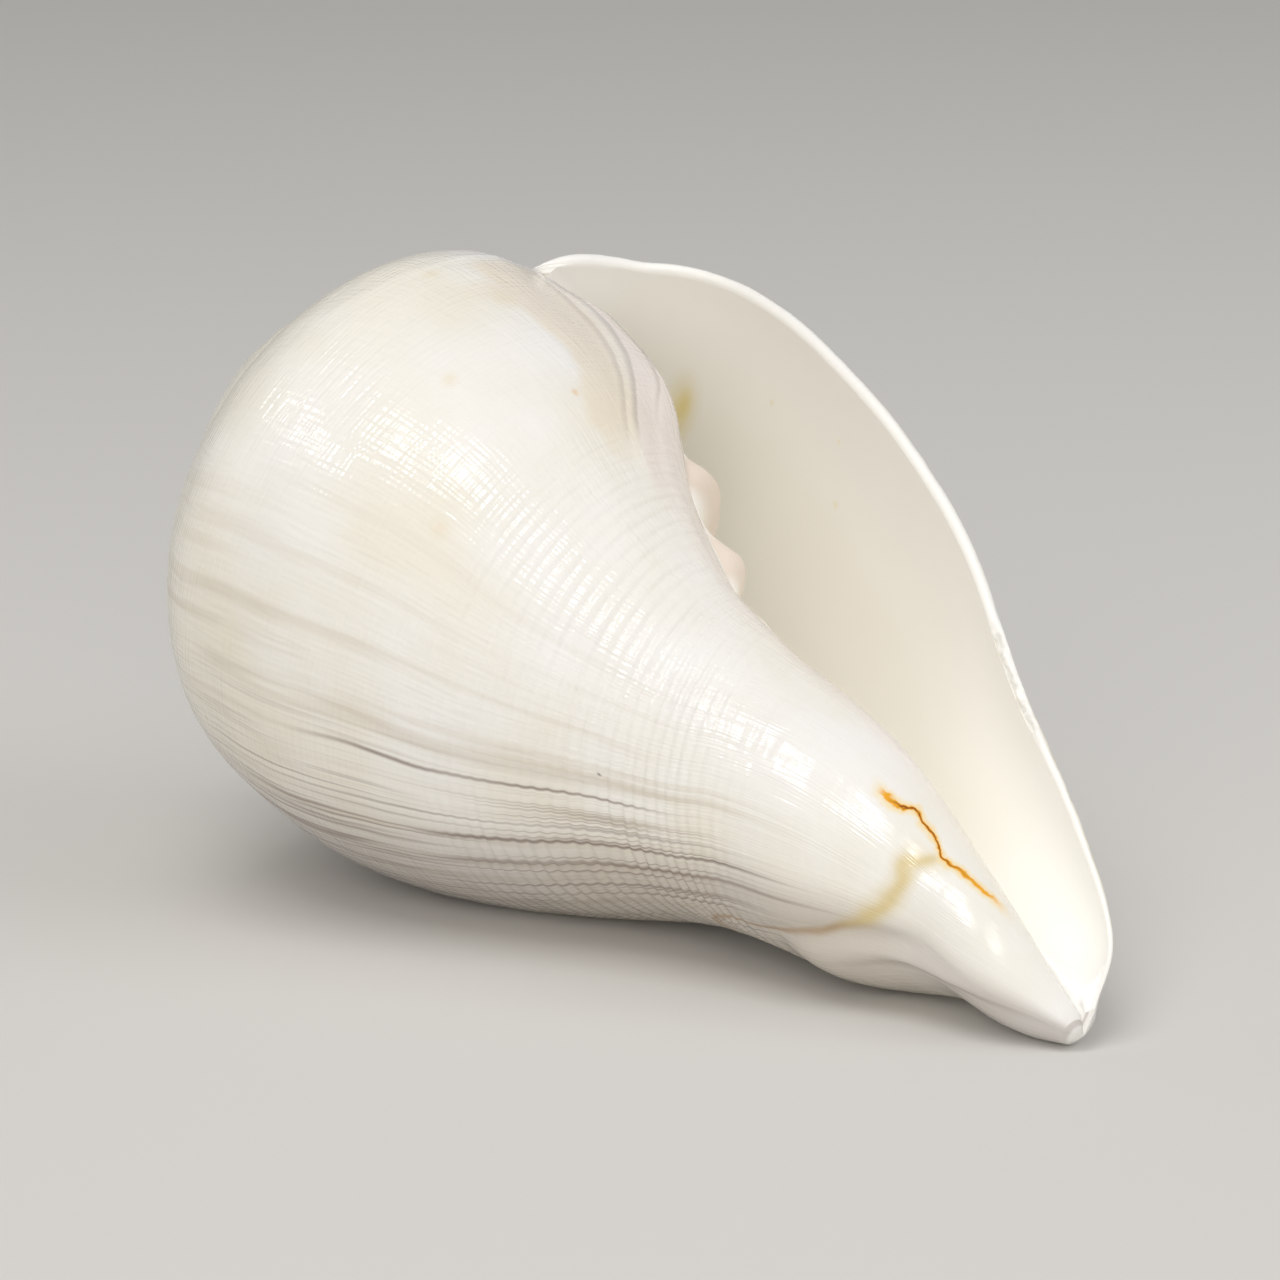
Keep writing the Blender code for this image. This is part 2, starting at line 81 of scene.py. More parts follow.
# Lengths in millimetres, angles in degrees. A section point is (radius from the coiling axis,
# depth along it below the virtual apex).
shell = {
    "whorlRatio": 1.5, "axisTilt": 21.75, "upAzimuth": -38.6,
    "apexPlace": (-73.084, -4.185, 58.618),    # virtual apex in the frame's axes
    "lipProfile": [(39.2, 33.2), (45, 38.5), (47.8, 46), (48, 56.5), (46.2, 70), (42.8, 85.5),
                   (37, 101.5), (27.5, 118), (19.5, 134), (11, 147.5), (2.8, 152)],
    "columellaProfile": [(31.5, 37.2), (30.2, 47), (27.2, 56.5), (22, 66), (16, 79.5), (14.2, 92),
                         (12.6, 114.5), (1.5, 151)],
    # section place, spread, share of the radius
    "girthChanges": [(0.17, 0.09, -0.035), (0.45, 0.1, 0.035), (0.8, 0.13, -0.15),
                     (0.93, 0.042, -0.38)],
    "sutureSeat": 2, "tipDepth": 152.8, "spireTurns": 4.0,
    "lipSetBack": 0.022, "lipMiddle": 0.55, "lipSkew": 0.8, "lipReach": 0.032, "lipReachEnd": 0.28,
    "parietalRun": 0.12,

    # columns round one turn, rows along a section, points round the cavity and the bore
    "columns": 204, "shoulderRows": 26, "frontRows": 32, "rowsPerCord": 6, "tipRows": 36,
    "rimPoints": 7, "outerPoints": 56, "innerPoints": 78, "boreSides": 96, "sharpAngle": 42,

    # lip and wall
    "rimThickness": 1.5, "rimRound": 0.6, "rimFullAt": 0.05, "rimTipShare": 0.35,
    "rimLeastRadius": 3.0, "wallThickness": 3.8, "wallRampTurn": 0.15, "wallThinFrom": 0.62,
    "wallTipShare": 0.55,

    # cavity
    "cavityTurns": 2.9, "capTurn": 0.02, "outerCrowding": 0.9, "cavityTop": 0.03,
    "cornerShare": 1.05, "cornerMouthShare": 0.6, "cornerTurn": 0.3, "endShare": 0.8,
    "edgeFadeTurn": 0.3, "canalEndDeep": 0.845, "canalEndRun": 0.15, "canalEndTurn": 0.35,
    "pillarRadius": 3.9, "pillarFrom": 0.6, "pillarTo": 0.9, "pillarGrowth": 0.5,
    "pillarTurn": 0.04, "undercutShare": 0.34, "undercutTurn": 0.015,
    "undercutPlaces": (0.855, 0.905, 0.96, 1.0),
    "foldPlaces": (0.612, 0.698, 0.775), "foldHeights": (4.4, 3.8, 1.0), "foldWidth": 0.021,
    "foldRise": 0.02, "meetTurns": (2.55, 2.9), "meetShare": 0.6, "meetPlaces": (0.7, 0.85),

    # ground apex and blow hole, with edges broken by hand
    "grindDepth": 8.5, "boreMouthRadius": 5.5, "boreEndRadius": 4.8, "boreDepth": 16.0,
    "toolRadius": 40, "toolAbove": 20,

    # relief outside: swelling round the canal, groove, callus and the line above the suture
    "fascioleTurns": (0.4, 0.55), "fascioleEnd": (1.0, 0.88), "fascioleHeight": 1.0,
    "fascioleSpread": 0.02, "fascioleOffset": 0.034, "grooveDepth": 0.6, "grooveSpread": 0.013,
    "groovePlace": 0.932, "grooveRise": 0.09, "grooveTurns": (0.66, 0.5),
    "callusHeight": 1.5, "callusPlaces": (0.31, 0.41, 0.5, 0.62),
    "callusTurns": (0.94, 0.99, 1.08, 1.4),
    "callusEdges": [[(0.1, 0.955), (0.3, 0.958), (0.4, 0.957), (0.46, 0.953), (0.5, 0.945),
                     (0.54, 0.93), (0.575, 0.914), (0.605, 0.905), (0.64, 0.9)],
                    [(0.1, 0.97), (0.4, 0.972), (0.46, 0.967), (0.5, 0.958), (0.54, 0.943),
                     (0.575, 0.926), (0.605, 0.916), (0.64, 0.908)],
                    [(0.1, 0.985), (0.45, 0.99), (0.506, 0.982), (0.553, 0.963), (0.591, 0.947),
                     (0.64, 0.935)]],
    "callusStep": 0.3, "seatLineHeight": 0.16, "seatLineTurns": (0.72, 0.82),
    "seatLinePlace": 0.272, "seatLineRise": 0.03, "seatLineSpread": 0.006,

    # relief of the tree: cords, growth lines, shallow dents and chips in the lip
    "cordStart": 0.545, "cordEnd": 0.868, "cordCount": 32, "cordHeight": 0.15, "cordWander": 0.6,
    "cordRise": 0.17, "cordFall": 0.1, "growthLineHeight": 0.05, "hammeredHeight": 0.14,
    "chipDepth": 0.9, "seed": 7.0,
    # how far a growth line lies back at each section place, in turns
    "growthLineShape": [(0.0, -0.05), (0.15, -0.035), (0.3, -0.02), (0.42, -0.008), (0.52, 0.0),
                        (0.65, 0.002), (0.7, 0.01), (0.77, 0.03), (0.82, 0.06), (0.87, 0.09),
                        (0.93, 0.12), (1.0, 0.16)],

    "colours": {
        "milk": "#f8f6f2", "cream": "#f0ead9", "growthStain": "#cbbda6", "growthLine": "#6f5448",
        # the belly grey on the next line is painted shade for the belly's lower part
        "paintedBellyShade": "#aa9e96", "peach": "#eedcbd", "ochreSpot": "#e6b878", "band": "#dcc686",
        "bandEdge": "#a5825a", "crackGlow": "#f8dfa6", "crackHalo": "#f2ab25",
        "crackCore": "#7c2a04", "blush": "#eee2dc", "shadowLine": "#a3978f",
        "mouthWhite": "#f7f5f0", "mouthCream": "#f0ede4", "mouthDeep": "#e2dac0",
        "mouthSpot": "#e3cf7c", "fold": "#dac6b4", "canal": "#f9f8f4", "rim": "#fbf9f4",
        "chip": "#e4e2da", "speck": "#5f5148"},
    # paths drawn on the shell: the yellow band's place at each turn, the crack's turn at each place
    "bandPath": [(0.3, 0.76), (0.45, 0.77), (0.493, 0.791), (0.521, 0.834), (0.552, 0.868),
                 (0.585, 0.891), (0.623, 0.906), (0.674, 0.918), (0.734, 0.925), (0.796, 0.929),
                 (0.84, 0.934), (0.873, 0.937), (1.0, 0.94)],
    "crackPath": [(0.9, 0.852), (0.909, 0.854), (0.914, 0.859), (0.918, 0.869), (0.923, 0.888),
                  (0.927, 0.883), (0.931, 0.886), (0.936, 0.873), (0.939, 0.861), (0.946, 0.869),
                  (0.952, 0.870), (0.96, 0.880), (0.97, 0.884)],
    # growth marks: growth line, half width, colour, strength, first and last section place
    "growthMarks": [(0.655, 0.008, "growthStain", 0.3, 0.25, 0.8),
                    (0.617, 0.007, "growthStain", 0.5, 0.3, 0.84),
                    (0.575, 0.01, "growthStain", 0.6, 0.25, 0.88),
                    (0.597, 0.0026, "growthLine", 0.7, 0.45, 0.8),
                    (0.572, 0.002, "growthLine", 0.5, 0.4, 0.85),
                    (0.545, 0.0035, "growthLine", 0.8, 0.3, 0.9),
                    (0.52, 0.005, "growthLine", 0.7, 0.2, 0.92),
                    (0.44, 0.002, "growthLine", 0.5, 0.1, 0.9),
                    (0.31, 0.0014, "growthLine", 0.4, 0.1, 0.9)],
    # spots: turn, place, radius, colour, strength
    "spots": [(0.88, 0.531, 1.2, "ochreSpot", 0.5), (0.813, 0.451, 2.2, "peach", 0.4),
              (0.741, 0.546, 2.6, "peach", 0.35), (0.62, 0.388, 5.5, "cream", 0.8),
              (0.862, 0.3, 2.5, "peach", 0.4), (0.638, 0.721, 0.5, "speck", 0.8)],
    "mouthSpots": [(0.108, 0.2, 8.0, "mouthSpot", 0.6), (0.104, 0.206, 3.5, "mouthSpot", 0.7),
                   (0.076, 0.353, 0.8, "mouthSpot", 0.3), (0.062, 0.451, 0.7, "mouthSpot", 0.3),
                   (0.096, 0.465, 0.9, "mouthSpot", 0.25)],
    # layers of colour: colour, strength, then (field, value where it is absent, value where full)
    "outsideLayers": [
        ("cream", 0.8, [("clouds", 0.35, 0.7)]),
        ("growthStain", 0.4, [("streaks", 0.48, 0.72), ("line", 0.8, 0.58), ("place", 0.92, 0.8)]),
        # painted shade: a grey band over the belly's lower part, where it turns from the light
        ("paintedBellyShade", 0.5, [("line", 0.2, 0.36), ("line", 0.58, 0.5)]),
        ("growthLine", 0.5, [("threads", 0.5, 0.7), ("line", 0.64, 0.55), ("line", 0.3, 0.4),
                             ("place", 0.9, 0.78)]),
        ("peach", 0.5, [("strayed", 0.885, 0.897), ("strayed", 0.965, 0.93), ("place", 0.27, 0.31),
                        ("place", 0.64, 0.56)]),
        ("blush", 0.7, [("callusEdge1", -0.003, 0.003), ("place", 0.22, 0.3),
                        ("place", 0.68, 0.6)]),
        ("shadowLine", 0.3, [("callusEdge0", -0.008, -0.001), ("callusEdge0", 0.002, -0.001),
                            ("onCallus",)]),
        ("shadowLine", 0.45, [("callusEdge1", -0.008, -0.001), ("callusEdge1", 0.002, -0.001),
                             ("onCallus",)]),
        ("shadowLine", 0.4, [("callusEdge2", -0.006, -0.001), ("callusEdge2", 0.002, -0.001),
                             ("place", 0.24, 0.3), ("place", 0.6, 0.5)]),
        ("blush", 0.45, [("turn", 0.9, 0.97), ("place", 0.6, 0.68), ("place", 0.97, 0.86)]),
        ("band", 0.5, [("offBand", 0.010, 0.0), ("turn", 0.54, 0.63), ("turn", 0.872, 0.83)]),
        ("band", 0.6, [("offBand", 0.005, 0.0), ("turn", 0.56, 0.66), ("turn", 0.872, 0.84)]),
        ("bandEdge", 0.6, [("offBand", 0.009, 0.0), ("turn", 0.36, 0.5), ("turn", 0.64, 0.58)]),
        ("crackGlow", 0.9, [("offCrack", 0.022, 0.004), ("place", 0.9, 0.911),
                            ("place", 0.97, 0.955)]),
        ("crackHalo", 1.0, [("offCrack", 0.007, 0.0035), ("place", 0.905, 0.91),
                            ("place", 0.964, 0.956)]),
        ("crackCore", 0.9, [("offCrack", 0.0035, 0.0008), ("place", 0.91, 0.918),
                            ("place", 0.955, 0.935), ("streaks", 0.34, 0.42)]),
    ],
    "insideLayers": [
        ("mouthCream", 1.0, [("deep", 0.035, 0.14)]),
        ("mouthDeep", 1.0, [("turn", 0.3, 1.5)]),
        ("fold", 0.75, [("foldAway", 0.032, 0.012), ("inner", 0.0, 0.5)]),
        ("canal", 1.0, [("place", 0.74, 0.86)]),
    ],
    "edgeLayers": [
        ("rim", 1.0, [("rim", 0.25, 0.5)]),
        ("chip", 0.9, [("chip", 0.3, 0.6)]),
    ],
    "roughOutside": 0.12, "roughInside": 0.4, "bumpDistance": 0.00008,
    # painted light: strength and colour of the glow given to the mouth's inside
    "glow": 0.13, "glowColour": "#fffaf0",
}


def ramp(x, start, end):
    # Rises smoothly from 0 at start to 1 at end, whichever of the two is larger
    share = np.clip((np.asarray(x, float) - start) / (end - start), 0.0, 1.0)
    return share * share * (3.0 - 2.0 * share)


def bump(x, spread):
    return np.exp(-(np.asarray(x, float) / spread) ** 2)


def curveAt(points, t):
    # Smooth curve through evenly spaced points, t from 0 to 1
    pts = np.asarray(points, float)
    pts = np.vstack([2 * pts[0] - pts[1], pts, 2 * pts[-1] - pts[-2]])
    x = np.clip(np.asarray(t, float), 0.0, 1.0) * (len(points) - 1)
    i = np.minimum(x.astype(int), len(points) - 2)
    f = (x - i)[..., None]
    a, b, c, d = pts[i], pts[i + 1], pts[i + 2], pts[i + 3]
    return 0.5 * (2 * b + (c - a) * f + (2 * a - 5 * b + 4 * c - d) * f ** 2
                  + (3 * b - a - 3 * c + d) * f ** 3)


ratio = shell["whorlRatio"]
seat = shell["sutureSeat"]
growthSpan, sectionSpan = 250.0, 165.0    # millimetres in one turn and along one section, roughly
lipCurve = np.vstack([np.array(shell["lipProfile"][seat]) / ratio, shell["lipProfile"]])
columellaCurve = np.vstack([lipCurve[:seat + 2] / ratio, shell["columellaProfile"]])
sutureT = (seat + 1) / (len(lipCurve) - 1)


def girthAt(t):
    return sum(change * bump(t - at, spread) for at, spread, change in shell["girthChanges"])


def section(turn, t):
    # The tree grows the outside by this same rule; here it serves the walls inside
    turn, t = np.broadcast_arrays(np.asarray(turn, float), np.asarray(t, float))
    share = np.minimum(turn, 1.0)[..., None]
    older = np.maximum(turn - 1.0, 0.0)[..., None]
    points = curveAt(lipCurve, t) ** (1 - share) * curveAt(columellaCurve, t) ** share \
        * ratio ** -older
    points[..., 0] *= 1.0 + girthAt(t) * np.sin(math.pi * np.clip(turn, 0.0, 1.0)) ** 2
    return points


def sectionNormal(turn, t, step=0.004):
    along = section(turn, np.minimum(t + step, 1.0)) - section(turn, np.maximum(t - step, 0.0))
    normal = np.stack([along[..., 1], -along[..., 0]], axis=-1)
    return normal / np.linalg.norm(normal, axis=-1, keepdims=True)


def lipTurn(t):
    x = np.clip(np.asarray(t, float) / shell["lipMiddle"], 0.0, 1.0)
    back = shell["lipSetBack"] * np.sin(math.pi * x ** shell["lipSkew"]) ** 2
    return back - shell["lipReach"] * ramp(x, shell["lipReachEnd"], 0.0)


def parietalTurn(t):
    return -shell["lipReach"] * ramp(t, sutureT + shell["parietalRun"], sutureT)


def callus(turn, t):
    places, turns = shell["callusPlaces"], shell["callusTurns"]
    zone = ramp(t, *places[:2]) * ramp(t, *places[:1:-1])
    return shell["callusHeight"] * zone * ramp(turn, *turns[:2]) * ramp(turn, *turns[:1:-1])


def softRelief(turn, t):
    # Swelling round the canal with the groove beside it, callus layers, and the suture's seat
    fromGroove = t - shell["groovePlace"] + shell["grooveRise"] * ramp(turn, *shell["grooveTurns"])
    raised = shell["fascioleHeight"] * bump(fromGroove - shell["fascioleOffset"],
                                            shell["fascioleSpread"])
    raised = (raised - shell["grooveDepth"] * bump(fromGroove, shell["grooveSpread"])) \
        * ramp(turn, *shell["fascioleTurns"]) * ramp(turn, *shell["fascioleEnd"])
    for edge in shell["callusEdges"]:
        at = np.interp(t, [p for p, _ in edge], [h for _, h in edge])
        fade = ramp(t, 0.66, 0.6) * ramp(t, 0.22, 0.3) * ramp(turn, 1.0, 0.992)
        raised = raised + shell["callusStep"] * ramp(turn, at - 0.004, at + 0.004) * fade
    fromLine = t - shell["seatLinePlace"] + shell["seatLineRise"] * ramp(turn, 0.86, 0.76)
    seatLine = bump(fromLine, shell["seatLineSpread"]) * ramp(turn, *shell["seatLineTurns"])
    return raised + callus(turn, t) + shell["seatLineHeight"] * seatLine * ramp(turn, 0.97, 0.93)


def tipShare(t, depthTurn):
    # The wall thins toward the canal tip, most at the very edge of the lip
    least = shell["rimTipShare"] + (shell["wallTipShare"] - shell["rimTipShare"]) \
        * ramp(depthTurn, 0.0, shell["wallRampTurn"])
    return 1.0 - (1.0 - least) * ramp(t, shell["wallThinFrom"], 1.0)


def wall(depthTurn, t):
    growing = ramp(depthTurn, 0.0, shell["wallRampTurn"])
    full = shell["rimThickness"] + (shell["wallThickness"] - shell["rimThickness"]) * growing
    return full * tipShare(t, depthTurn) * ratio ** -depthTurn


class Chart:
    # Points of the surface before growth, each with its attributes, and the faces between them
    def __init__(self):
        self.faces = []
        self.data = {name: [] for name in ("turn", "place", "lipPoint", "columellaPoint", "girth",
                                           "outside", "rim", "raised", "inner")}
        self.count = 0

    def add(self, turn, t, lip, columella, **values):
        turn = np.atleast_1d(np.asarray(turn, float))
        n = len(turn)
        values.update(turn=turn, place=t)
        for name in ("turn", "place", "girth", "outside", "rim", "raised", "inner"):
            value = np.asarray(values.get(name, 0.0), float)
            self.data[name].append(np.broadcast_to(value, (n,)).copy())
        for name, value in (("lipPoint", lip), ("columellaPoint", columella)):
            self.data[name].append(np.broadcast_to(np.asarray(value, float), (n, 2)).copy())
        self.count += n
        return list(range(self.count - n, self.count))

    def addGrown(self, turn, t, raised=0.0):
        turn, t = np.broadcast_arrays(np.asarray(turn, float), np.asarray(t, float))
        return self.add(turn, t, curveAt(lipCurve, t), curveAt(columellaCurve, t), girth=girthAt(t),
                        outside=1.0, raised=raised)

    def addSection(self, turn, t, rd, **values):
        # A fixed section point: growth is taken out of it here and put back by the tree
        older = np.maximum(np.atleast_1d(turn) - 1.0, 0.0)[:, None]
        grown = np.atleast_2d(rd) * ratio ** older
        return self.add(turn, t, grown, grown, **values)

    def face(self, *corners):
        ring = [c for i, c in enumerate(corners) if c != corners[i - 1]]
        if len(ring) > 2:
            self.faces.append(ring)

    def grid(self, columns):
        for left, right in zip(columns, columns[1:]):
            for j in range(len(left) - 1):
                self.face(left[j], left[j + 1], right[j + 1], right[j])

    def zipRows(self, left, right, leftAt, rightAt):
        i = j = 0
        while i < len(left) - 1 or j < len(right) - 1:
            if j == len(right) - 1 or (i < len(left) - 1 and leftAt[i + 1] <= rightAt[j + 1]):
                self.face(left[i], left[i + 1], right[j])
                i += 1
            else:
                self.face(left[i], right[j + 1], right[j])
                j += 1


def chartOutside(chart, rows):
    n = shell["columns"]
    start, end = lipTurn(rows), 1.0 + parietalTurn(rows)
    columns = []
    for i in range(n + 1):
        turn = start + (end - start) * i / n
        columns.append(chart.addGrown(turn, rows, softRelief(turn, rows)))
    seatAt = int(np.argmin(abs(rows - sutureT)))
    columns[-1][seatAt] = columns[0][0]
    tip = chart.addSection(np.array([0.0]), 1.0, np.array([0.0, shell["tipDepth"]]), outside=1.0)[0]
    chart.grid(columns)
    for left, right in zip(columns, columns[1:] + columns[:1]):
        chart.face(left[-1], tip, right[-1])
    return columns, seatAt


def chartSpire(chart, body, rows, seatAt):
    n = shell["columns"]
    columns = [body[-1][:seatAt + 1]]
    sutures = [column[0] for column in body]
    for i in range(1, int(round((shell["spireTurns"] - 1.0) * n)) + 1):
        turn = 1.0 - shell["lipReach"] + i / n
        column = chart.addGrown(turn, rows[:seatAt]) + [sutures[i]]
        sutures.append(column[0])
        columns.append(column)
    chart.grid(columns)
    topDepth = lipCurve[0][1] * ratio ** -shell["spireTurns"]
    top = chart.addSection(np.array([0.0]), 0.0, np.array([0.0, topDepth]), outside=1.0)[0]
    ring = sutures[-n - 1:] + columns[-1][1:-1]
    for a, b in zip(ring, ring[1:] + ring[:1]):
        chart.face(a, top, b)


def chartRim(chart, body, rows):
    # The outer lip's edge, rounded over from the outside to the mouth
    turn = lipTurn(rows)
    share = ramp(rows, 0.0, shell["rimFullAt"]) * tipShare(rows, 0.0)
    start = section(turn, rows)
    inward = -sectionNormal(turn, rows) * (shell["rimThickness"] * share)[:, None]
    around = 2 * math.pi * np.maximum(start[:, 0], shell["rimLeastRadius"])
    forward = shell["rimRound"] * share / around
    strips = []
    for s in np.linspace(0.0, 1.0, shell["rimPoints"] + 1)[1:]:
        bulge = (4 * s * (1 - s)) ** 0.6
        strip = chart.addSection(turn - forward * bulge, rows, start + inward * s,
                                 rim=0.3 + 0.7 * s, outside=1.0 - s)
        strip[0], strip[-1] = body[0][0], body[-1][-1]
        strips.append(strip)
    chart.grid(strips[::-1] + [body[0]])
    return strips[-1]


def innerWall(depthTurn, turn, t):
    # Parietal wall and columella, with the folds and the canal cut in behind the inner lip
    rd = section(1.0 + turn, t)
    places = shell["undercutPlaces"]
    cut = ramp(t, *places[:2]) * ramp(t, *places[:1:-1])
    opened = 1.0 - math.exp(-depthTurn / shell["undercutTurn"])
    rd[..., 0] *= 1.0 - shell["undercutShare"] * cut * opened
    pillar = shell["pillarRadius"] * (1.0 - math.exp(-depthTurn / shell["pillarTurn"])) \
        * ratio ** (-shell["pillarGrowth"] * depthTurn)
    rd[..., 0] = np.hypot(rd[..., 0], pillar * ramp(t, shell["pillarFrom"], shell["pillarTo"]))
    meet = shell["meetShare"] * ramp(depthTurn, *shell["meetTurns"])
    rd[..., 0] *= 1.0 - meet * ramp(t, *shell["meetPlaces"][::-1])
    rise = (1.0 - math.exp(-depthTurn / shell["foldRise"])) * ratio ** -depthTurn
    folds = sum(height * bump(t - at, shell["foldWidth"])
                for at, height in zip(shell["foldPlaces"], shell["foldHeights"]))
    raised = folds * rise + callus(1.0 + turn, t)
    return rd + sectionNormal(1.0 + turn, t) * raised[..., None]


def cavityLoop(depthTurn):
    end = shell["canalEndDeep"] \
        + shell["canalEndRun"] * math.exp(-depthTurn / shell["canalEndTurn"])
    fade = math.exp(-depthTurn / shell["edgeFadeTurn"])
    mouthShare = shell["cornerMouthShare"]
    corner = mouthShare + (1.0 - mouthShare) * ramp(depthTurn, 0.0, shell["cornerTurn"])
    top = shell["cavityTop"] * corner
    tOut = np.linspace(0.0, 1.0, shell["outerPoints"]) ** shell["outerCrowding"] * (end - top) + top
    turnOut = depthTurn + lipTurn(tOut) * fade
    thickness = wall(depthTurn, tOut)
    outer = section(turnOut, tOut) - sectionNormal(turnOut, tOut) * thickness[..., None]
    samples = np.linspace(sutureT, 1.0, 400)
    depths = section(1.0 + depthTurn, samples)[..., 1]
    tFirst = np.interp(depths[0] + shell["cornerShare"] * corner * thickness[0], depths, samples)
    tLast = np.interp(outer[-1, 1] - shell["endShare"] * thickness[-1], depths, samples)
    tIn = np.linspace(tLast, tFirst, shell["innerPoints"])
    turnIn = depthTurn + parietalTurn(tIn) * fade
    loop = np.vstack([outer, innerWall(depthTurn, turnIn, tIn)])
    for _ in range(10):    # rounds the corner under the suture and the one at the canal's end
        eased = 0.5 * loop + 0.25 * (np.roll(loop, 1, axis=0) + np.roll(loop, -1, axis=0))
        for corner in (0, shell["outerPoints"]):
            near = [(corner + k) % len(loop) for k in range(-4, 4)]
            loop[near] = eased[near]
    return np.concatenate([turnOut, turnIn]), loop, tOut, tIn


def chartCavity(chart, body, rows, rimInside, seatAt):
    steps = [0.002, 0.005, 0.009, 0.014, 0.02, 0.027, 0.035, 0.045, 0.056, 0.068, 0.082]
    steps += list(np.arange(0.1, 1.0, 0.022)) + list(np.arange(1.0, shell["cavityTurns"], 0.045))
    sections = [cavityLoop(step) for step in steps]
    loops = [chart.addSection(turns, np.concatenate([tOut, tIn]), loop,
                              inner=np.repeat([0.0, 1.0], [len(tOut), len(tIn)]))
             for turns, loop, tOut, tIn in sections]
    turns, loop, tOut, tIn = sections[0]
    outside, inside = loops[0][:len(tOut)], loops[0][len(tOut):]
    parietal = body[-1][seatAt:][::-1]
    chart.zipRows(outside, rimInside, tOut, rows)
    chart.zipRows(inside, parietal, -tIn, -rows[seatAt:][::-1])
    chart.face(outside[-1], rimInside[-1], inside[0])
    chart.face(inside[-1], parietal[-1], outside[0])
    for a, b in zip(loops, loops[1:]):
        chart.grid([b + b[:1], a + a[:1]])
    centre = chart.addSection(np.array([steps[-1] + shell["capTurn"]]), 0.6,
                              sections[-1][1].mean(axis=0))[0]
    for a, b in zip(loops[-1], loops[-1][1:] + loops[-1][:1]):
        chart.face(a, b, centre)


def meshFromChart(name, chart):
    # The chart lies flat as (turn, place) until the tree grows it
    values = {key: np.concatenate(parts) for key, parts in chart.data.items()}
    flat = np.column_stack([values["turn"], values["place"], 1.0 - values["outside"]])
    mesh = bpy.data.meshes.new(name)
    mesh.from_pydata(flat.tolist(), [], chart.faces)
    for key, value in values.items():
        kind, field = ("FLOAT", "value") if value.ndim == 1 else ("FLOAT_VECTOR", "vector")
        if value.ndim == 2:
            value = np.column_stack([value, np.zeros(len(value))])
        layer = mesh.attributes.new(key, kind, "POINT")
        layer.data.foreach_set(field, value.astype(np.float32).ravel())
    bm = bmesh.new()
    bm.from_mesh(mesh)
    bmesh.ops.delete(bm, geom=[v for v in bm.verts if not v.link_faces], context="VERTS")
    bm.to_mesh(mesh)
    bm.free()
    obj = bpy.data.objects.new(name, mesh)
    bpy.context.scene.collection.objects.link(obj)
    return obj


def fillCurve(socket, points, low=0.0, high=1.0):
    # Puts points into a Float Curve node, given one of its sockets
    mapping = socket.node.mapping
    spots = [(x, (y - low) / (high - low)) for x, y in points]
    mapping.curves[0].points[0].location = spots[0]
    mapping.curves[0].points[1].location = spots[-1]
    for spot in spots[1:-1]:
        mapping.curves[0].points.new(*spot)
    mapping.update()


